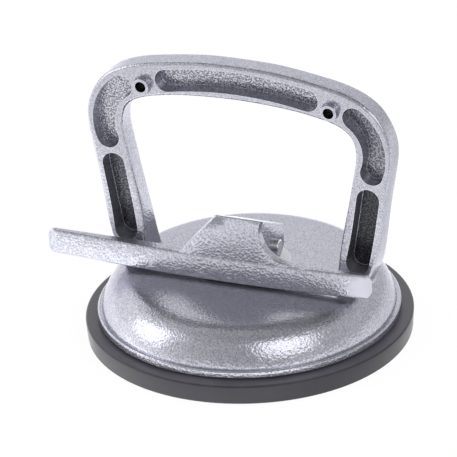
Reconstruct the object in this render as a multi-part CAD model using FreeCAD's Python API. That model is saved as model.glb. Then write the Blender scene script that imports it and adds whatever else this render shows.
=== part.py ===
"""Floor tile suction lifter: a die-cast housing (dome and arch handle in one piece) over a rubber
suction pad, with a cam lever that draws the middle of the pad up into the dome.
Units are millimetres. The origin is the centre of the pad's underside. +Z is up, away from the
tile, X runs along the arch of the handle and -Y is the side that the lever bar is on."""
import math
import os

import FreeCAD
import Part

os.makedirs("parts", exist_ok=True)
V = FreeCAD.Vector

# ---- driving dimensions: suction pad and insert plate ----
PAD_R = 60.0                # outer radius of the pad at the tile
PAD_FLARE = 0.5             # how far the rim leans out at its top
PAD_RIM = 7.6               # height of the pad's rim
PAD_LAND = 7.0              # width of the flat sealing ring on the tile
PAD_HOLLOW = 2.4            # height of the hollow under the middle of the pad
PAD_SKIN_TOP = 6.6          # height of the top of the flexing skin
SEAT_RISE = 0.5             # height of the ring that carries the dome, over the pad's rim
PLATE_R = 22.0              # radius of the insert plate
PLATE_THICK = 3.0           # thickness of the insert plate
PLATE_LOW = 8.0             # height of the plate's underside
COLLAR = 4.0                # width of the rubber collar around the plate

# ---- driving dimensions: dome ----
DOME_R = 54.3               # radius of the dome's flank at its foot
CROWN = 25.2                # height of the dome's crown
FLANK_TOP = 11.2            # height at which the shoulder meets the upright foot of the flank
WALL = 3.2                  # thickness of the dome's wall
RIM_LIP = 1.6               # width of the lip around the dome's foot
RIM_HIGH = 2.9              # height of that lip

# ---- driving dimensions: handle ----
HANDLE_TOP = 107.8          # height of the top of the handle
HANDLE_WIDE = 59.5          # half the greatest width of the handle
GRIP = 13.4                 # thickness of the grip at its middle
LEG = 14.0                  # thickness of a leg at the widest place of the opening
HANDLE_HALF = 4.3           # half the depth of the handle
HANDLE_ROUND = 1.1          # radius of the handle's long edges
FOOT_BLEND = 2.0            # radius between the handle's feet and the dome
POCKET_WALL = 2.5           # width of the wall left beside a pocket in the leg
POCKET_FLOOR = 0.9          # Y of the floor of the pockets
POCKET_DRAFT = 0.6          # growth of a pocket's radius to the front, and loss to its floor
BOSS_R = 3.6                # radius of the round bosses at the handle's corners
BOSS_PROUD = 2.5            # how far a boss stands out of the handle's front
BOSS_HOLE_R = 2.1           # radius of the hole through a boss

# ---- driving dimensions: stud, washer and pin ----
STUD_R = 5.0                # radius of the pull stud
RIVET_R = 3.5               # radius of the stud's end in the insert plate
PIN_R = 2.75                # radius of the pivot pin
EYE_WALL = 3.0              # thickness of the stud's eye around the pin
RUN = 0.06                  # radial clearance of the running fits
WASHER_R = 16.0             # radius of the thrust washer's flange
WASHER_THICK = 2.5          # thickness of that flange
SPIGOT_R = 8.0              # outer radius of the washer's guide spigot
SPIGOT_LONG = 10.2          # length of that spigot
SEAT_PROUD = 0.5            # height of the washer's seat over the crown
PIN_PROUD = 2.1             # length of pin that shows at each side of the hub

# ---- driving dimensions: lever ----
CAM_H = 6.5                 # distance from the pin's axis to the cam, lever down
CAM_RATE = 2.2              # growth of the cam's radius, mm per radian
CAM_END = math.radians(62)  # angle that the cam is shaped for
CAM_GAP = 0.3               # gap between the cam and the thrust washer
BAR_LEFT = -74.4            # X of the long end of the lever bar
BAR_RIGHT = 53.1            # X of its short end
BAR_THICK = 4.9             # thickness of the bar at its middle
BAR_HIGH = 9.3              # height of the bar
BAR_OVER_CROWN = 0.7        # gap between the bar and the dome's crown
BAR_TO_HANDLE = 6.7         # distance from the handle's front to the back of the bar
BAR_END_R = 3.0             # radius of the bar's corners, seen from the front
BAR_ROUND = 0.7             # radius of the bar's long front edges
WEB_THICK = 4.3             # thickness of the web over the bar
WEB_SET_BACK = 0.3          # step between the front of the bar and the front of the web
SLOT_SIDE = 0.4             # gap between the stud's eye and each cheek of the hub
CHEEK_LEFT = 2.4            # thickness of the left cheek
CHEEK_RIGHT = 5.7           # thickness of the right cheek
HUB_REAR = 8.9              # Y of the hub's rear face
ROOF = 2.3                  # thickness of the hub's roof
EYE_GAP = 0.45              # gap between the stud's eye and the roof
TOP_SLOPE = 0.52            # fall of the hub's top towards the rear
RELIEF_R = 11.1             # radius of the round relief in the web beside the pin
LEVER_ROUND = 0.5           # radius of the hub's and the web's outer edges

# ---- heights and places that follow ----
DOME_LOW = PAD_RIM + SEAT_RISE
PLATE_TOP = PLATE_LOW + PLATE_THICK
WASHER_BASE = CROWN + SEAT_PROUD
WASHER_TOP = WASHER_BASE + WASHER_THICK
SPIGOT_LOW = WASHER_BASE - SPIGOT_LONG
PIN_Z = WASHER_TOP + CAM_GAP + CAM_H
EYE_R = PIN_R + RUN + EYE_WALL
BAR_LOW = CROWN + BAR_OVER_CROWN
BAR_TOP = BAR_LOW + BAR_HIGH
BAR_BACK = -(HANDLE_HALF + BAR_TO_HANDLE)
BAR_FRONT = BAR_BACK - BAR_THICK
WEB_BACK = BAR_FRONT + WEB_SET_BACK + WEB_THICK
SLOT_HALF = STUD_R + SLOT_SIDE
HUB_LEFT = -SLOT_HALF - CHEEK_LEFT
HUB_RIGHT = SLOT_HALF + CHEEK_RIGHT
LEG_MID = HANDLE_WIDE - LEG / 2
GRIP_MID = HANDLE_TOP - GRIP / 2
POCKET_R = LEG / 2 - POCKET_WALL
BOSS_X = HANDLE_WIDE - 22.9
BOSS_Z = HANDLE_TOP - 12.0
FAR = 200.0                 # reach of tools that cut right through


def line(a, b):
    return Part.LineSegment(V(*a), V(*b)).toShape()


def chain(points):
    """Straight edges from each point to the next."""
    return [line(a, b) for a, b in zip(points, points[1:])]


def spline(points, start=None, end=None):
    curve = Part.BSplineCurve()
    if start:
        curve.interpolate([V(*p) for p in points], InitialTangent=V(*start), FinalTangent=V(*end))
    else:
        curve.interpolate([V(*p) for p in points])
    return curve.toShape()


def arc(a, m, b):
    return Part.Arc(V(*a), V(*m), V(*b)).toShape()


def revolve(edges):
    """Solid of revolution about Z from the edges of a closed outline in the XZ plane."""
    return Part.Face(Part.Wire(edges)).revolve(V(0, 0, 0), V(0, 0, 1), 360)


def turned(points):
    """Solid of revolution about Z from (radius, height) corners."""
    ring = [(r, 0, z) for r, z in points]
    return revolve(chain(ring + ring[:1]))


def prism(corners, way):
    """Solid between a flat polygon and its copy moved by way."""
    ring = [V(*p) for p in corners]
    return Part.Face(Part.makePolygon(ring + ring[:1])).extrude(V(*way))


def cylinder(radius, base, direction, length):
    return Part.makeCylinder(radius, length, V(*base), V(*direction))


def mirror_x(shape):
    return shape.mirror(V(0, 0, 0), V(1, 0, 0))


# ---- housing: dome ----
# the shoulder, as (distance in from the flank, share of the drop from the crown to FLANK_TOP)
SHOULDER = [(32.3, 0.004), (18.3, 0.025), (12.3, 0.054), (8.7, 0.107), (5.7, 0.229), (3.4, 0.407), (1.8, 0.614),
            (0.7, 0.814), (0.0, 1.0)]
SHOULDER_DROP = CROWN - FLANK_TOP
crown_curve = [(0.0, CROWN)] + [(DOME_R - inward, CROWN - SHOULDER_DROP * share) for inward, share in SHOULDER]


def dome_body(inset, low):
    """Solid under the crown curve, moved in by inset and closed at the height low."""
    moved = [(0.0, 0, CROWN - inset)]
    for before, here, after in zip(crown_curve, crown_curve[1:], crown_curve[2:] + crown_curve[-1:]):
        dr = after[0] - before[0]
        dz = after[1] - before[1]
        size = math.hypot(dr, dz)
        moved.append((here[0] + inset * dz / size, 0, here[1] - inset * dr / size))
    foot_r = moved[-1][0]
    return revolve([spline(moved)] + chain([moved[-1], (foot_r, 0, low), (0, 0, low), moved[0]]))


RIM_R = DOME_R + RIM_LIP
RIM_TOP = DOME_LOW + RIM_HIGH
RIM_EDGE = 0.5              # chamfer of the lip's edges
rim = turned([(0, DOME_LOW), (RIM_R - RIM_EDGE, DOME_LOW), (RIM_R, DOME_LOW + RIM_EDGE),
              (RIM_R, RIM_TOP - RIM_EDGE), (RIM_R - RIM_EDGE, RIM_TOP), (0, RIM_TOP)])
dome = dome_body(0.0, DOME_LOW).fuse(rim)
hollow = dome_body(WALL, DOME_LOW - 1.0)

SEAT_R = 12.0               # radius of the washer's seat on the crown
GUIDE_R = 13.0              # radius of the guide boss under the crown
seat = turned([(0, CROWN - WALL), (SEAT_R + 0.4, CROWN - WALL), (SEAT_R, WASHER_BASE), (0, WASHER_BASE)])
guide = turned([(0, SPIGOT_LOW), (GUIDE_R, SPIGOT_LOW), (GUIDE_R + 1.0, CROWN - 1.0), (0, CROWN - 1.0)])

# ---- housing: arch handle ----
# each side of the arch from its foot, which follows the dome, to the top, which follows the handle:
# (distance in from the dome's flank, height over the crown), then (distance in, drop from the top)
OUTER_FOOT = [(9.7, -4.7), (5.1, 3.3), (2.7, 8.8), (1.2, 14.3)]
OUTER_TOP = [(3.5, 50.3), (1.9, 41.3), (0.5, 33.3), (0.0, 27.8), (0.5, 22.8), (2.5, 17.3), (6.3, 11.6),
             (11.1, 7.9), (18.5, 4.8), (29.5, 2.5), (44.5, 0.5)]
INNER_FOOT = [(17.0, -4.7), (16.5, 4.8), (15.7, 14.5)]
INNER_TOP = [(3.1, 34.4), (1.2, 24.4), (0.1, 18.4), (0.0, 13.4), (1.3, 9.1), (3.9, 6.3), (7.9, 4.3),
             (14.5, 2.6), (21.0, 1.5), (31.5, 0.5)]
BEHIND = -20.0              # Y that the arch and its depth are extruded from
FLARE_TOP = 26.8            # height over the crown at which the legs start to widen towards the dome


def arch_side(feet, upper, half_width, top):
    """Points up the right side of an arch."""
    low = [(DOME_R - inward, BEHIND, CROWN + height) for inward, height in feet]
    return low + [(half_width - inward, BEHIND, top - drop) for inward, drop in upper]


def arch_curve(side, top):
    left = [(-x, y, z) for x, y, z in side]
    return spline(left + [(0, BEHIND, top)] + side[::-1])


outer_side = arch_side(OUTER_FOOT, OUTER_TOP, HANDLE_WIDE, HANDLE_TOP)
inner_side = arch_side(INNER_FOOT, INNER_TOP, HANDLE_WIDE - LEG, HANDLE_TOP - GRIP)
foot_out = outer_side[0]
foot_in = inner_side[0]
left_out = (-foot_out[0], BEHIND, foot_out[2])
left_in = (-foot_in[0], BEHIND, foot_in[2])
arch_wire = Part.Wire([arch_curve(outer_side, HANDLE_TOP), line(foot_out, foot_in),
                       arch_curve(inner_side, HANDLE_TOP - GRIP), line(left_in, left_out)])
arch = Part.Face(arch_wire).extrude(V(0, -2 * BEHIND, 0))

# half the depth of the legs, as (growth over the grip's half depth, height over the crown)
FLARE = [(0.0, FLARE_TOP), (0.15, 20.8), (1.0, 12.8), (2.5, 5.3), (4.1, -0.2), (5.3, -5.2)]


def flare_curve(side):
    """Edge of the legs seen from the end, on the side +1 or -1 of the handle."""
    points = [(-FAR, side * (HANDLE_HALF + growth), CROWN + height) for growth, height in FLARE]
    return spline(points, (0, 0, -6), (0, side, -4)), points


front_flare, front_points = flare_curve(-1)
rear_flare, rear_points = flare_curve(1)
head = HANDLE_TOP + 10.0
over_handle = [rear_points[0], (-FAR, HANDLE_HALF, head), (-FAR, -HANDLE_HALF, head), front_points[0]]
depth_wire = Part.Wire([front_flare, line(front_points[-1], rear_points[-1]), rear_flare] + chain(over_handle))
handle = arch.common(Part.Face(depth_wire).extrude(V(2 * FAR, 0, 0)))


def slot_wire(p1, pm, p2, r, y):
    """Closed outline with round ends about the arc through three (x, z) points, in the plane y."""
    ax, az = p1
    bx, bz = pm
    cx, cz = p2
    d = 2 * (ax * (bz - cz) + bx * (cz - az) + cx * (az - bz))
    sa = ax * ax + az * az
    sb = bx * bx + bz * bz
    sc = cx * cx + cz * cz
    ox = (sa * (bz - cz) + sb * (cz - az) + sc * (az - bz)) / d
    oz = (sa * (cx - bx) + sb * (ax - cx) + sc * (bx - ax)) / d
    radius = math.hypot(ax - ox, az - oz)

    def at(p, off):
        k = (radius + off) / radius
        return (ox + (p[0] - ox) * k, y, oz + (p[1] - oz) * k)

    def cap(p, other):
        ux = -(p[1] - oz) / radius
        uz = (p[0] - ox) / radius
        if ux * (other[0] - p[0]) + uz * (other[1] - p[1]) > 0:
            ux, uz = -ux, -uz
        return (p[0] + ux * r, y, p[1] + uz * r)

    return Part.Wire([arc(at(p1, r), at(pm, r), at(p2, r)), arc(at(p2, r), cap(p2, pm), at(p2, -r)),
                      arc(at(p2, -r), at(pm, -r), at(p1, -r)), arc(at(p1, -r), cap(p1, pm), at(p1, r))])


def pocket(p1, pm, p2):
    """Drafted pocket from in front of the handle down to the pocket floor."""
    wide = slot_wire(p1, pm, p2, POCKET_R + POCKET_DRAFT, -HANDLE_HALF - 7.7)
    narrow = slot_wire(p1, pm, p2, POCKET_R - POCKET_DRAFT, POCKET_FLOOR)
    return Part.makeLoft([wide, narrow], True, True)


pocket_x = BOSS_X - 9.2
leg_high = (LEG_MID - 2.6, HANDLE_TOP - 46.2)
leg_low = (DOME_R - 8.7, CROWN + 11.2)
leg_bow = ((leg_high[0] + leg_low[0]) / 2 + 0.1, (leg_high[1] + leg_low[1]) / 2)
top_pocket = pocket((-pocket_x, GRIP_MID - 2.6), (0, GRIP_MID + 0.1), (pocket_x, GRIP_MID - 2.6))
corner_pocket = pocket((LEG_MID - 7.1, HANDLE_TOP - 14.1), (LEG_MID - 1.2, HANDLE_TOP - 21.4),
                       (LEG_MID - 0.9, HANDLE_TOP - 35.4))
leg_pocket = pocket(leg_high, leg_bow, leg_low)

boss = Part.makeCone(BOSS_R, BOSS_R - 0.5, BOSS_PROUD + 0.1, V(BOSS_X, 0.1 - HANDLE_HALF, BOSS_Z), V(0, -1, 0))
boss_hole = cylinder(BOSS_HOLE_R, (BOSS_X, -FAR / 2, BOSS_Z), (0, 1, 0), FAR)

handle = handle.makeFillet(HANDLE_ROUND, [e for e in handle.Edges if e.BoundBox.ZLength > HANDLE_TOP / 5])
for tool in (top_pocket, corner_pocket, mirror_x(corner_pocket), leg_pocket, mirror_x(leg_pocket)):
    handle = handle.cut(tool)
handle = handle.fuse(boss).fuse(mirror_x(boss))

housing = dome.fuse(handle)


def at_foot(edge):
    """True for the edges where the legs meet the dome."""
    box = edge.BoundBox
    beside = min(abs(box.XMin), abs(box.XMax)) > DOME_R / 2 and max(-box.YMin, box.YMax) < HANDLE_HALF + 7.0
    return beside and box.ZMin > FLANK_TOP + 5.0 and box.ZMax < CROWN + 2.5


housing = housing.makeFillet(FOOT_BLEND, [e for e in housing.Edges if at_foot(e)])
housing = housing.fuse(seat).cut(hollow).fuse(guide)
housing = housing.cut(cylinder(SPIGOT_R, (0, 0, 0), (0, 0, 1), WASHER_TOP))
housing = housing.cut(boss_hole).cut(mirror_x(boss_hole)).removeSplitter()

# ---- suction pad: sealing land, hollow underside, leaning rim, seat for the dome, skin, collar and plate ----
land_in = PAD_R - PAD_LAND
pad_top_r = PAD_R + PAD_FLARE
seat_out = DOME_R + 0.1
seat_in = DOME_R - WALL - 0.9
PAD_EDGE = 0.8              # radius of the rim's upper edge
PAD_FOOT = 0.4              # chamfer of its lower edge
collar_r = PLATE_R + COLLAR
rim_point = (pad_top_r, 0, PAD_RIM - PAD_EDGE)
rim_middle = (pad_top_r - 0.29 * PAD_EDGE, 0, PAD_RIM - 0.29 * PAD_EDGE)
rim_inner = (pad_top_r - PAD_EDGE, 0, PAD_RIM)
pad_edges = [arc((0, 0, PAD_HOLLOW), (land_in / 2, 0, 0.75 * PAD_HOLLOW), (land_in, 0, 0))]
pad_edges += chain([(land_in, 0, 0), (PAD_R - PAD_FOOT, 0, 0), (PAD_R, 0, PAD_FOOT), rim_point])
pad_edges += [arc(rim_point, rim_middle, rim_inner)]
pad_edges += chain([rim_inner, (seat_out, 0, PAD_RIM), (seat_out, 0, DOME_LOW), (seat_in, 0, DOME_LOW),
                    (seat_in - 1.7, 0, PAD_SKIN_TOP), (collar_r + 4.0, 0, PAD_SKIN_TOP), (collar_r, 0, PLATE_TOP),
                    (PLATE_R, 0, PLATE_TOP), (PLATE_R, 0, PLATE_LOW), (0, 0, PLATE_LOW), (0, 0, PAD_HOLLOW)])
pad = revolve(pad_edges)

# ---- insert plate, bonded into the pad, and the pull stud riveted to it ----
plate = cylinder(PLATE_R, (0, 0, PLATE_LOW), (0, 0, 1), PLATE_THICK)
plate = plate.cut(cylinder(RIVET_R, (0, 0, 0), (0, 0, 1), FAR))

eye_long = 2 * STUD_R - 0.1
stud = cylinder(STUD_R, (0, 0, PLATE_TOP), (0, 0, 1), PIN_Z - PLATE_TOP)
stud = stud.fuse(cylinder(RIVET_R, (0, 0, PLATE_LOW), (0, 0, 1), PLATE_THICK))
stud = stud.fuse(cylinder(EYE_R, (-eye_long / 2, 0, PIN_Z), (1, 0, 0), eye_long))
stud = stud.cut(cylinder(PIN_R + RUN, (-FAR / 2, 0, PIN_Z), (1, 0, 0), FAR)).removeSplitter()

# ---- thrust washer with a guide spigot; its flange is cut flat in front of the lever bar ----
bore_r = STUD_R + RUN
WASHER_EDGE = 0.5           # chamfer of the flange, and its distance from the bar
washer = turned([(bore_r, SPIGOT_LOW), (SPIGOT_R, SPIGOT_LOW), (SPIGOT_R, WASHER_BASE), (WASHER_R, WASHER_BASE),
                 (WASHER_R, WASHER_TOP - WASHER_EDGE), (WASHER_R - WASHER_EDGE, WASHER_TOP), (bore_r, WASHER_TOP)])
washer = washer.cut(Part.makeBox(FAR, FAR, FAR, V(-FAR / 2, BAR_BACK + WASHER_EDGE - FAR, WASHER_BASE)))


# ---- lever: hub, two cheeks and a sloping roof around the stud's eye, with the cam below ----
def top_at(y, distance=EYE_R + EYE_GAP + ROOF):
    """Height at y of the sloping plane at a distance from the pin's axis."""
    return PIN_Z + distance * math.hypot(1, TOP_SLOPE) - TOP_SLOPE * y


CAM_STEPS = 12
cam = []
for step in range(CAM_STEPS + 1):
    phi = CAM_END * step / CAM_STEPS
    reach = CAM_H + CAM_RATE * phi
    cam.append((HUB_LEFT, reach * math.sin(phi) + CAM_RATE * math.cos(phi),
                PIN_Z - reach * math.cos(phi) + CAM_RATE * math.sin(phi)))
rear_low = (HUB_LEFT, HUB_REAR, cam[-1][2] + 0.4)
neck = (HUB_LEFT, WEB_BACK, PIN_Z - 4.4)
toe = (HUB_LEFT, -3.5, PIN_Z - CAM_H)
hub_wire = Part.Wire([spline(cam)] + chain([cam[-1], rear_low, (HUB_LEFT, HUB_REAR, top_at(HUB_REAR)),
                                            (HUB_LEFT, WEB_BACK, top_at(WEB_BACK)), neck])
                     + [arc(neck, (HUB_LEFT, -8.0, PIN_Z - 5.8), toe), line(toe, cam[0])])
hub = Part.Face(hub_wire).extrude(V(HUB_RIGHT - HUB_LEFT, 0, 0))
hub_edges = [e for e in hub.Edges if e.BoundBox.YMax > HUB_REAR - 0.1 and e.BoundBox.ZMax > PIN_Z]
hub = hub.makeFillet(LEVER_ROUND, hub_edges)
slot_front = -EYE_R - 1.2
roof = EYE_R + EYE_GAP
slot_rear = HUB_REAR + 5.0
slot_corners = [(slot_front, 0), (slot_rear, 0), (slot_rear, top_at(slot_rear, roof)),
                (slot_front, top_at(slot_front, roof))]
hub = hub.cut(prism([(-SLOT_HALF, y, z) for y, z in slot_corners], (2 * SLOT_HALF, 0, 0)))

# ---- lever: bar, bowed to the front and turned back at its ends ----
# the front, as (X, distance from the back of the bar as a share of its greatest thickness)
BOW = [(BAR_LEFT, 0.12), (BAR_LEFT + 1.2, 0.31), (BAR_LEFT + 6.4, 0.49), (BAR_LEFT + 22.4, 0.69),
       (-32.0, 0.92), (-12.0, 1.0), (10.0, 0.94), (BAR_RIGHT - 25.1, 0.78), (BAR_RIGHT - 11.1, 0.59),
       (BAR_RIGHT - 4.6, 0.45), (BAR_RIGHT - 1.1, 0.27), (BAR_RIGHT, 0.10)]
bow = [(x, BAR_BACK - BAR_THICK * share, BAR_LOW) for x, share in BOW]
bar_back = [(BAR_RIGHT, BAR_BACK, BAR_LOW), (BAR_LEFT, BAR_BACK, BAR_LOW)]
plan = Part.Wire([spline(bow)] + chain(bow[-1:] + bar_back + bow[:1]))
bar = Part.Face(plan).extrude(V(0, 0, BAR_HIGH))
bar_long = BAR_RIGHT - BAR_LEFT
front_edges = [e for e in bar.Edges if e.BoundBox.XLength > 0.8 * bar_long and e.BoundBox.YLength > 1]
bar = bar.makeFillet(BAR_ROUND, front_edges)
side = Part.makeBox(bar_long, 20, BAR_HIGH, V(BAR_LEFT, BAR_BACK - 15, BAR_LOW))
side = side.makeFillet(BAR_END_R, [e for e in side.Edges if e.BoundBox.YLength > 10 and e.BoundBox.XLength < 1])
bar = bar.common(side)

# ---- lever: web from the bar up to the hub, with the round relief beside the pin ----
relief_x = HUB_RIGHT - 0.2 + RELIEF_R
web_low = BAR_TOP - 2.2
web = prism([(HUB_LEFT - 13.7, WEB_BACK, web_low), (HUB_LEFT - 13.7, WEB_BACK, BAR_TOP - 0.7),
             (HUB_LEFT + 3.2, WEB_BACK, top_at(WEB_BACK) + 3), (relief_x, WEB_BACK, top_at(WEB_BACK) + 3),
             (relief_x, WEB_BACK, BAR_TOP + 1.0), (relief_x + 8.0, WEB_BACK, BAR_TOP - 0.2),
             (relief_x + 8.0, WEB_BACK, web_low)], (0, -WEB_THICK - 2.0, 0))
web = web.cut(cylinder(RELIEF_R, (relief_x, -FAR / 2, PIN_Z + 12.1), (0, 1, 0), FAR))
under_top = [(BAR_FRONT, 0), (BAR_FRONT, top_at(BAR_FRONT)), (0, top_at(0)), (0, 0)]
web = web.common(prism([(-FAR, y, z) for y, z in under_top], (2 * FAR, 0, 0)))
web = web.common(Part.Face(plan).extrude(V(0, 0, FAR)).translated(V(0, WEB_SET_BACK, 0)))
web = min(web.Solids, key=lambda solid: solid.BoundBox.ZMin)
web_edges = [e for e in web.Edges if e.BoundBox.YMax < WEB_BACK - 1 and e.BoundBox.ZMax > PIN_Z + 10]
web = web.makeFillet(LEVER_ROUND, web_edges)
lever = bar.fuse(web).fuse(hub)
lever = lever.cut(cylinder(PIN_R, (-FAR / 2, 0, PIN_Z), (1, 0, 0), FAR)).removeSplitter()

# ---- pivot pin ----
PIN_CHAMFER = 0.4
pin = cylinder(PIN_R, (HUB_LEFT - PIN_PROUD, 0, PIN_Z), (1, 0, 0), HUB_RIGHT - HUB_LEFT + 2 * PIN_PROUD)
pin = pin.makeChamfer(PIN_CHAMFER, [e for e in pin.Edges if e.BoundBox.XLength < 0.01])

for node, shape in (("housing", housing), ("suction_pad", pad), ("insert_plate", plate), ("pull_stud", stud),
                    ("thrust_washer", washer), ("lever", lever), ("pivot_pin", pin)):
    assert len(shape.Solids) == 1, (node, len(shape.Solids))
    assert shape.isValid(), node
    shape.exportStep("parts/" + node + ".step")
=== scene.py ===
"""Suction lifter for floor tiles: hammertone castings, rubber pad, steel turned parts, nylon washer."""
import math

import bpy
import bmesh
from mathutils import Matrix, Vector


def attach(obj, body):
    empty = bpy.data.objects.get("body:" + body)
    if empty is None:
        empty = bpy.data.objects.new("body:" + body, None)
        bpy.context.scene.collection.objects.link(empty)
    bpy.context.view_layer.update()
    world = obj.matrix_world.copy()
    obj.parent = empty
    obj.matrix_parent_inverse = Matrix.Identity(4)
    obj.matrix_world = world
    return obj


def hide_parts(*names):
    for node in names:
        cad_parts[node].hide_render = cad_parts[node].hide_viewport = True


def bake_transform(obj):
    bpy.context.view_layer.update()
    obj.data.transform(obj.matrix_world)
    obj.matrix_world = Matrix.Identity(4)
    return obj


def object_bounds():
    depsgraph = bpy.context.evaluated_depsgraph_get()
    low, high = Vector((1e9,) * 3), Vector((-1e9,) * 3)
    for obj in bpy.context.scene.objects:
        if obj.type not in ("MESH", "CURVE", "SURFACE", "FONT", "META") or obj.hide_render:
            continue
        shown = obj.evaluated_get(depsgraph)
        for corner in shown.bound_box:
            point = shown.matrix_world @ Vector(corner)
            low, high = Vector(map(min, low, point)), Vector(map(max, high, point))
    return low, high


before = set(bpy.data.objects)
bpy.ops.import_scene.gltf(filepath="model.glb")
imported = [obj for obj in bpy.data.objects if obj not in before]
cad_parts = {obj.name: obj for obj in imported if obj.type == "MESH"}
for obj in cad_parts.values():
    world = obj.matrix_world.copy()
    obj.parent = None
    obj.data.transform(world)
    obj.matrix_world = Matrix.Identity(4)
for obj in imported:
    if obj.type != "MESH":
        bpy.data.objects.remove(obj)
cad_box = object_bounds()

# everything is in metres unless it says otherwise
WELD = 0.000004             # corners of the CAD's loose triangles that are nearer than this are one
CREASE = 32.0               # degrees; an edge that turns by less is drawn smooth

BOSS_X, BOSS_Z = 0.0366, 0.0958     # where the hole through a boss is
BORE_R = 0.0023             # just over the radius of that hole
BORE_FACING = 0.1           # its wall looks no more than this far to the front or back
TOP_BAND = 0.004            # the front of the grip is measured this far down from its top
FLOOR_DEEP = 0.002          # a pocket's floor is at least this far behind the front
FLOOR_FACING = -0.999       # and its faces look this squarely to the front
POCKETS_FROM = 0.030        # all of the pockets are higher than this
LEG_TOP = 0.066             # a pocket with its middle below this is in a leg
CORNER_X = 0.030            # and above it, further right than this, in the right corner
MOUTH = 0.5                 # share of a pocket wall's painted shade that is left at its mouth
# painted shade of a pocket, on its floor and on its wall, from 0 to 1
LEFT_LEG, RIGHT_LEG, RIGHT_CORNER, OTHER_POCKET = (0.78, 0.34), (0.88, 0.46), (0.48, 0.20), (0.10, 0.17)

BAR_BACK = -0.0110          # Y of the back of the lever's bar
BAR_MIDDLE, BAR_TOP = 0.03055, 0.0352       # Z of its middle and of its top
BAR_LEAN = 18.0             # share of the bar's thickness lost per metre of height

# how light each part of the hammertone paint is, as a share of the paint's tone; END_REFLECTION is a painted
# reflection, EDGE_HIGHLIGHT a painted highlight and PAINTED_SHADE_TONE painted shade
DARK_FLECK, LIGHT_FLECK, PEPPER, SALT = 0.77, 1.22, 0.42, 1.50
END_REFLECTION, EDGE_HIGHLIGHT, PAINTED_SHADE_TONE = 1.25, 2.1, 0.02
WORN_AND_LIT_FADE = 0.004           # how far the paint takes to turn from whole to rubbed and painted paler
EDGE_R = 0.0006             # how near a sharp edge, convex and concave, the paint takes its painted highlight

RUBBER, HAZY_RUBBER = (0.030, 0.028, 0.037, 1.0), (0.047, 0.044, 0.057, 1.0)
# painted sheen: the pad's top ring is painted lighter
TOP_RING_SHEEN = (0.260, 0.248, 0.292, 1.0)
SHEEN_FROM, SHEEN_FULL = 0.0074, 0.0080       # heights on the pad between which its top ring takes a painted sheen


class Socket:
    """A node output that takes part in arithmetic: each operator adds a Math node to its tree."""

    def __init__(self, tree, link):
        self.tree = tree
        self.link = link

    def _math(self, operation, *values):
        return self.tree.add("ShaderNodeMath", {"operation": operation}, values)

    def __add__(self, other):
        return self._math("ADD", self, other)

    def __radd__(self, other):
        return self._math("ADD", other, self)

    def __sub__(self, other):
        return self._math("SUBTRACT", self, other)

    def __rsub__(self, other):
        return self._math("SUBTRACT", other, self)

    def __mul__(self, other):
        return self._math("MULTIPLY", self, other)

    def __rmul__(self, other):
        return self._math("MULTIPLY", other, self)


class Tree:
    """A material's or a world's node tree, emptied, with one method that adds any node."""

    def __init__(self, owner):
        owner.use_nodes = True
        self.nodes = owner.node_tree.nodes
        self.links = owner.node_tree.links
        self.nodes.clear()

    def add(self, kind, settings=None, values=None, out=0):
        """A node of this kind: its settings first, then the values or links of its sockets."""
        node = self.nodes.new(kind)
        for name, value in (settings or {}).items():
            setattr(node, name, value)
        pairs = values.items() if isinstance(values, dict) else enumerate(values or ())
        for name, value in pairs:
            if isinstance(value, Socket):
                self.links.new(value.link, node.inputs[name])
            else:
                node.inputs[name].default_value = value
        return Socket(self, node.outputs[out]) if len(node.outputs) else None

    def several(self, kind, keys, values=None):
        """One node's outputs under these keys."""
        outputs = self.add(kind, None, values).link.node.outputs
        return [Socket(self, outputs[key]) for key in keys]

    def axes(self, vector):
        """The X, Y and Z of a vector."""
        return self.several("ShaderNodeSeparateXYZ", ("X", "Y", "Z"), [vector])

    def rays(self):
        """Three values, each 1 for one kind of ray: from the eye, from a gloss, and through something."""
        return self.several("ShaderNodeLightPath", ("Is Camera Ray", "Is Glossy Ray", "Is Transmission Ray"))

    def attribute(self, name):
        """A value that the piece's mesh carries, by its name."""
        return self.add("ShaderNodeAttribute", {"attribute_name": name}, out="Fac")

    def ramp(self, value, low, high, bottom=0.0, top=1.0):
        """From bottom where the value is low to top where it is high, and level beyond."""
        return self.add("ShaderNodeMapRange", {"clamp": True}, [value, low, high, bottom, top])

    def mix(self, amount, first, second):
        """Two colours mixed. The node's sockets for colours go by number, because they share their names."""
        return self.add("ShaderNodeMix", {"data_type": "RGBA"}, {0: amount, 6: first, 7: second}, out=2)

    def place(self):
        """Object coordinates."""
        return self.add("ShaderNodeTexCoord", out="Object")

    def noise(self, place, scale, detail=2.0, roughness=0.5):
        return self.add("ShaderNodeTexNoise", None,
                        {"Vector": place, "Scale": scale, "Detail": detail, "Roughness": roughness})

    def bump(self, height, strength, distance):
        return self.add("ShaderNodeBump", None,
                        {"Height": height, "Strength": strength, "Distance": distance})


def finish_material(name, build):
    """A new material with the shader that build makes in its tree."""
    material = bpy.data.materials.new(name)
    tree = Tree(material)
    shader = build(tree)
    tree.add("ShaderNodeOutputMaterial", None, {"Surface": shader})
    return material


def tinted(tone, factor):
    """The tone made darker or lighter by a factor, as an opaque colour."""
    return [min(part * factor, 1.0) for part in tone] + [1.0]


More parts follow.
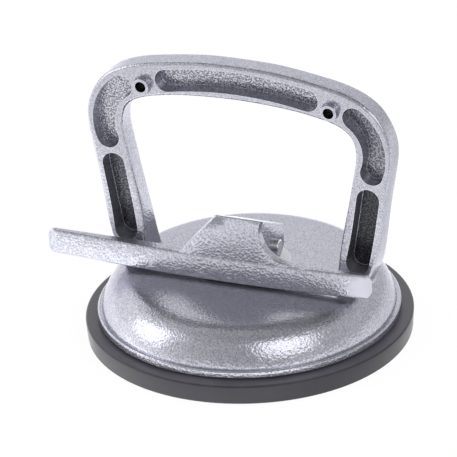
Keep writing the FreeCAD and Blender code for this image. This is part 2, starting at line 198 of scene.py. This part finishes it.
def hammertone(tone, seed, relief, pebble_tint=0.10, worn_and_lit_from=None):
    """Silver-grey hammertone paint: pebbles of this relief under a gloss film, with a painted highlight on
    sharp edges.

    pebble_tint is how much the pebbles show in the flecks of the colour. Where the attribute "speckle" is 1
    the paint is coarse salt and pepper, and where "shade" is 1 it is painted nearly black, as painted shade
    deep in a pocket.
    Further along X than worn_and_lit_from it is rubbed smoother and duller, and painted paler as a painted
    reflection.
    """

    def build(tree):
        place = tree.add("ShaderNodeMapping", None,
                         {"Vector": tree.place(), "Location": (seed, seed * 0.7, 0.0)})
        pebbles = tree.add("ShaderNodeTexVoronoi", {"feature": "SMOOTH_F1"},
                           {"Vector": place, "Scale": 1150.0, "Smoothness": 0.6, "Randomness": 1.0})
        swirl = tree.noise(place, 850.0, 3.0, 0.6)
        grit = tree.noise(place, 2000.0, 2.0, 0.6)
        drift = tree.noise(place, 60.0, 2.0)
        coarse = tree.noise(place, 1500.0, 2.0, 0.7)
        speckle, shade = tree.attribute("speckle"), tree.attribute("shade")

        height = pebbles * 0.6 + swirl * 0.5 + grit * 0.15
        rough = tree.ramp(drift, 0.3, 0.7, 0.19, 0.25)
        flecks = tree.ramp(grit * 0.60 + swirl * 0.20 + pebbles * pebble_tint,
                           0.33 + pebble_tint * 0.2, 0.47 + pebble_tint * 0.5)
        colour = tree.mix(flecks, tinted(tone, DARK_FLECK), tinted(tone, LIGHT_FLECK))
        salted = tree.mix(tree.ramp(coarse, 0.46, 0.56), tinted(tone, PEPPER), tinted(tone, SALT))
        colour = tree.mix(speckle, colour, salted)
        # painted reflection: beyond worn_and_lit_from the bar's end is painted paler; its pebbles are also
        # shallower and its gloss duller
        if worn_and_lit_from is not None:
            along = tree.axes(tree.place())[0]
            worn_and_lit = tree.ramp(along, worn_and_lit_from, worn_and_lit_from + WORN_AND_LIT_FADE)
            colour = tree.mix(worn_and_lit, colour, tinted(tone, END_REFLECTION))
            height = height * tree.ramp(worn_and_lit, 0.0, 1.0, 1.0, 0.2)
            rough = rough + worn_and_lit * 0.12

        # painted highlight along sharp edges, convex and concave, stronger where the paint carries painted
        # shade
        rounded = tree.add("ShaderNodeBevel", {"samples": 4}, {"Radius": EDGE_R})
        flat = tree.add("ShaderNodeNewGeometry", out="Normal")
        facing = tree.add("ShaderNodeVectorMath", {"operation": "DOT_PRODUCT"}, [rounded, flat], out="Value")
        edge = tree.ramp(facing, 0.80, 0.985, 1.0, 0.0) * (shade * 0.45 + 0.50)
        # painted shade: where "shade" is 1 the colour is nearly black, as deep in a pocket
        colour = tree.mix(shade, colour, tinted(tone, PAINTED_SHADE_TONE))
        colour = tree.mix(edge, colour, tinted(tone, EDGE_HIGHLIGHT))
        return tree.add("ShaderNodeBsdfPrincipled", None, {
            "Base Color": colour, "Roughness": rough + shade * 0.12, "Metallic": 0.85,
            "Specular IOR Level": 0.5, "Specular Tint": (0.55, 0.55, 0.60, 1.0),
            "Coat Weight": 0.25 - shade * 0.24, "Coat Roughness": 0.10,
            "Normal": tree.bump(height, 1.0, relief)})

    return build


def rubber(tree):
    """Matt black moulded rubber with a faint grain and haze, and a painted sheen on its top ring."""
    place = tree.place()
    grain = tree.noise(place, 1500.0, 3.0, 0.6)
    haze = tree.noise(place, 60.0, 3.0, 0.6)
    height = tree.axes(place)[2]
    clean = tree.mix(tree.ramp(haze, 0.35, 0.75), RUBBER, HAZY_RUBBER)
    # painted sheen: the top ring is painted lighter, in patches
    sheen = tree.ramp(height, SHEEN_FROM, SHEEN_FULL) * tree.ramp(haze, 0.2, 0.7, 0.5, 1.0)
    return tree.add("ShaderNodeBsdfPrincipled", None, {
        "Base Color": tree.mix(sheen, clean, TOP_RING_SHEEN),
        "Roughness": tree.ramp(haze, 0.3, 0.7, 0.34, 0.46), "Specular IOR Level": 0.32,
        "Normal": tree.bump(grain, 0.25, 0.0001)})


def steel(shade, roughness):
    """Zinc-plated steel with fine turning lines."""

    def build(tree):
        place = tree.place()
        lines = tree.add("ShaderNodeMapping", None, {"Vector": place, "Scale": (400.0, 4000.0, 4000.0)})
        marks = tree.noise(lines, 1.0, 2.0)
        spots = tree.noise(place, 300.0, 2.0)
        rough = tree.ramp(spots, 0.3, 0.7, roughness - 0.05, roughness + 0.07)
        colour = tree.mix(spots, (shade * 0.92, shade * 0.92, shade * 0.94, 1.0),
                          (shade, shade, shade * 0.99, 1.0))
        return tree.add("ShaderNodeBsdfPrincipled", None, {
            "Base Color": colour, "Roughness": rough, "Metallic": 1.0,
            "Normal": tree.bump(marks, 0.12, 0.00005)})

    return build


def nylon(tree):
    """Natural nylon: off-white, faintly clouded, with a satin turned face."""
    place = tree.place()
    cloud = tree.noise(place, 120.0, 2.0)
    colour = tree.mix(cloud, (0.88, 0.88, 0.91, 1.0), (0.94, 0.94, 0.97, 1.0))
    rough = tree.ramp(cloud, 0.3, 0.7, 0.38, 0.48)
    grain = tree.noise(place, 900.0, 2.0)
    return tree.add("ShaderNodeBsdfPrincipled", None, {
        "Base Color": colour, "Roughness": rough, "Normal": tree.bump(grain, 0.1, 0.0001)})


body_paint = finish_material("hammertone_body", hammertone(
    tone=(0.418, 0.420, 0.475), seed=0.011, relief=0.00014))
lever_paint = finish_material("hammertone_lever", hammertone(
    tone=(0.400, 0.405, 0.460), seed=0.037, relief=0.00018, pebble_tint=0.30, worn_and_lit_from=0.044))
pad_rubber = finish_material("pad_rubber", rubber)
stud_steel = finish_material("stud_steel", steel(shade=0.62, roughness=0.28))
plate_steel = finish_material("plate_steel", steel(shade=0.55, roughness=0.36))
pin_steel = finish_material("pin_steel", steel(shade=0.82, roughness=0.20))
washer_nylon = finish_material("washer_nylon", nylon)


def pocket_floors(shape):
    """The floors of the handle's pockets, each as a set of the faces that join up."""
    front = min(vert.co.y for vert in shape.verts if vert.co.z > cad_box[1][2] - TOP_BAND)
    waiting = {face for face in shape.faces
               if face.normal.y < FLOOR_FACING and face.verts[0].co.y > front + FLOOR_DEEP
               and face.verts[0].co.z > POCKETS_FROM}
    floors = []
    while waiting:
        reached = [waiting.pop()]
        floor = set(reached)
        while reached:
            for edge in reached.pop().edges:
                for face in waiting.intersection(edge.link_faces):
                    waiting.discard(face)
                    floor.add(face)
                    reached.append(face)
        floors.append(floor)
    return floors


def recess_values(shape):
    """Speckle and painted shade, each 0 to 1, at the corners of the handle's pockets and boss holes.

    They come as {(face, vertex): (speckle, shade)}.
    """
    values = {}
    shape.faces.index_update()
    shape.verts.index_update()
    for floor in pocket_floors(shape):
        rim = {vert for face in floor for vert in face.verts}
        middle = sum((vert.co for vert in rim), Vector()) / len(rim)
        if middle.z < LEG_TOP:
            floor_shade, wall_shade = LEFT_LEG if middle.x < 0 else RIGHT_LEG
        else:
            floor_shade, wall_shade = RIGHT_CORNER if middle.x > CORNER_X else OTHER_POCKET
        for vert in rim:
            for face in vert.link_faces:
                for corner in face.verts:
                    if face in floor:
                        look = (1.0, floor_shade)
                    else:
                        look = (0.0, wall_shade if corner in rim else wall_shade * MOUTH)
                    values[face.index, corner.index] = look
    # painted shade: the walls of the holes through the bosses are painted nearly black
    for face in shape.faces:
        centre = face.calc_center_median()
        from_axis = math.hypot(abs(centre.x) - BOSS_X, centre.z - BOSS_Z)
        if abs(face.normal.y) < BORE_FACING and from_axis < BORE_R:
            for corner in face.verts:
                values[face.index, corner.index] = (0.0, 1.0)
    return values


def lean_bar(shape):
    """The front of the lever's bar leans back as it rises, as a casting's draft does."""
    for vert in shape.verts:
        if vert.co.y < BAR_BACK:
            rise = min(vert.co.z, BAR_TOP) - BAR_MIDDLE
            vert.co.y = BAR_BACK + (vert.co.y - BAR_BACK) * (1.0 - BAR_LEAN * rise)


def add_object(name, data):
    """A new object with this data, in the scene."""
    item = bpy.data.objects.new(name, data)
    bpy.context.scene.collection.objects.link(item)
    return item


def smooth_copy(node, name, material, recessed=False, reshape=None):
    """A copy of a solid that stands for it, with its doubles merged, smooth but for its real edges.

    recessed gives it the pockets' speckle and painted shade, and reshape is a function that moves its
    corners.
    """
    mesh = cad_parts[node].data.copy()
    piece = add_object(name, mesh)
    shape = bmesh.new()
    shape.from_mesh(mesh)
    bmesh.ops.remove_doubles(shape, verts=shape.verts, dist=WELD)
    if reshape:
        reshape(shape)
        shape.normal_update()
    limit = math.radians(CREASE)
    for face in shape.faces:
        face.smooth = True
    for edge in shape.edges:
        edge.smooth = not edge.is_manifold or edge.calc_face_angle(0.0) < limit
    values = recess_values(shape) if recessed else {}
    shape.to_mesh(mesh)
    shape.free()
    for place, layer in enumerate(("speckle", "shade")):
        data = mesh.attributes.new(layer, "FLOAT", "CORNER").data
        for face in mesh.polygons:
            for corner, vert in zip(face.loop_indices, face.vertices):
                data[corner].value = values.get((face.index, vert), (0.0, 0.0))[place]
    mesh.materials.clear()
    mesh.materials.append(material)
    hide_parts(node)
    return piece


# ---- painted castings ----
casting = smooth_copy("housing", "dome_and_handle", body_paint, recessed=True)
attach(casting, "housing")
lever = smooth_copy("lever", "cam_lever", lever_paint, reshape=lean_bar)
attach(lever, "lever")

# ---- rubber pad ----
pad = smooth_copy("suction_pad", "rubber_pad", pad_rubber)
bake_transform(pad)

# ---- turned pieces: their solids stay, with new materials ----
for node, material in (("insert_plate", plate_steel), ("pull_stud", stud_steel),
                       ("pivot_pin", pin_steel), ("thrust_washer", washer_nylon)):
    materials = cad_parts[node].data.materials
    materials.clear()
    materials.append(material)

# ---- camera ----
AZIMUTH, ELEVATION = 23.02, 26.84       # degrees round the object from -Y towards +X, and upwards
ROLL, PITCH, YAW = 2.45, 0.20, -0.16    # degrees that the camera turns by once it is aimed
AIM = Vector((0.0, 0.0, 0.050))         # the point that the camera and the lamps are aimed at
REACH = 2.333                           # from there to the camera
FOCAL_SHARE = 6388.0 / 457.0            # focal length over the sensor's width
SENSOR = 36.0                           # the sensor's width in millimetres
FAR = 50.0                              # nothing further than this is drawn


def heading(azimuth, elevation):
    """The way from the object to something round it; azimuth is measured from -Y towards +X."""
    round_it, upwards = math.radians(azimuth), math.radians(elevation)
    return Vector((math.sin(round_it) * math.cos(upwards), -math.cos(round_it) * math.cos(upwards),
                   math.sin(upwards)))


back = heading(AZIMUTH, ELEVATION)
right = Vector((math.cos(math.radians(AZIMUTH)), math.sin(math.radians(AZIMUTH)), 0.0))
turn = Matrix.Identity(3)
for angle, axis in ((ROLL, "Z"), (PITCH, "X"), (YAW, "Y")):
    turn = turn @ Matrix.Rotation(math.radians(angle), 3, axis)
stance = (turn @ Matrix((right, back.cross(right), back))).transposed()
camera_data = bpy.data.cameras.new("camera")
camera_data.sensor_width = SENSOR
camera_data.lens = FOCAL_SHARE * SENSOR
camera_data.clip_end = FAR
camera = add_object("camera", camera_data)
camera.matrix_world = Matrix.Translation(AIM + back * REACH) @ stance.to_4x4()
bpy.context.scene.camera = camera


# ---- studio ----
WHITE = (1.0, 1.0, 1.0, 1.0)
WRAP = 0.62                             # the world's strength as plain light from all round
FLOOR_HALF, FLOOR_Z = 6.0, -0.0002      # half the floor's side, and its height, just under the pad
FLOOR_TO_EYE = 1.03                     # the floor's strength to the eye, just over white
FLOOR_GLOW = 0.93                       # share of it that glows; the rest takes the object's shadow
# the floor's strength in reflections: in a strip before the pad, in front of that, and further back
FLOOR_NEAR, FLOOR_FRONT, FLOOR_BACK = 2.8, 1.35, 2.05
STRIP_FRONT, STRIP_BACK = (-0.088, -0.075), (-0.060, -0.045)       # Y where one runs into the next
FLOOR_RIGHT, RIGHT_SIDE = 0.66, (0.03, 0.09)    # share of it that is left on the right, and X where it falls


def white_floor(tree):
    """White to the eye; its reflection is brightest in a strip before the pad and weaker on the right."""
    eye, gloss, through = tree.rays()
    most = {"operation": "MAXIMUM"}
    seen = tree.add("ShaderNodeMath", most, [tree.add("ShaderNodeMath", most, [eye, gloss]), through])
    x, y, _ = tree.axes(tree.place())
    front = tree.ramp(y, *STRIP_FRONT, FLOOR_FRONT, FLOOR_NEAR)
    level = FLOOR_BACK + (front - FLOOR_BACK) * tree.ramp(y, *STRIP_BACK, 1.0, 0.0)
    level = level * tree.ramp(x, *RIGHT_SIDE, 1.0, FLOOR_RIGHT)
    strength = gloss * level + (1.0 - gloss) * FLOOR_TO_EYE
    plain = tree.add("ShaderNodeBsdfDiffuse", None, {"Color": (0.82, 0.82, 0.82, 1.0)})
    glow = tree.add("ShaderNodeEmission", None, {"Color": WHITE, "Strength": strength})
    return tree.add("ShaderNodeMixShader", None, [seen * FLOOR_GLOW, plain, glow])


floor_mesh = bpy.data.meshes.new("floor")
corners = [(x * FLOOR_HALF, y * FLOOR_HALF, FLOOR_Z) for x, y in ((-1, -1), (1, -1), (1, 1), (-1, 1))]
floor_mesh.from_pydata(corners, [], [(0, 1, 2, 3)])
floor_mesh.materials.append(finish_material("floor_white", white_floor))
floor = add_object("floor", floor_mesh)

world = bpy.data.worlds.new("studio")
bpy.context.scene.world = world
sky = Tree(world)
side_way, depth_way, height_way = sky.axes(sky.add("ShaderNodeTexCoord", out="Generated"))
grey_front = sky.ramp(depth_way, -0.6, 0.3, 0.55, 1.0)
bright_left = sky.ramp(side_way, -0.8, 0.6, 1.55, 0.78)
grey_top = sky.ramp(height_way, 0.66, 0.90, 1.0, 0.60)
dark_high_behind = sky.ramp(height_way, 0.62, 0.76) * sky.ramp(depth_way, 0.02, 0.20, 0.0, 0.70)
gloss_level = grey_front * bright_left * grey_top * (1.0 - dark_high_behind)
eye, gloss, through = sky.rays()
level = eye + through + gloss * gloss_level + (1.0 - eye - through - gloss) * WRAP
light = sky.add("ShaderNodeBackground", None, {"Color": WHITE, "Strength": level})
sky.add("ShaderNodeOutputWorld", None, {"Surface": light})


def softbox(name, azimuth, elevation, distance, width, height, power):
    """An area lamp aimed at the object, of this width and height in metres and power in watts."""
    way = heading(azimuth, elevation)
    data = bpy.data.lights.new(name, "AREA")
    data.shape = "RECTANGLE"
    data.size = width
    data.size_y = height
    data.energy = power
    lamp = add_object(name, data)
    lamp.location = AIM + way * distance
    lamp.rotation_euler = way.to_track_quat("Z", "Y").to_euler()


softbox("left_box", azimuth=-63, elevation=20, distance=1.6, width=0.85, height=1.0, power=5.8)
softbox("right_box", azimuth=52, elevation=28, distance=1.6, width=1.1, height=0.9, power=6.5)

bpy.context.scene.view_settings.view_transform = "Standard"
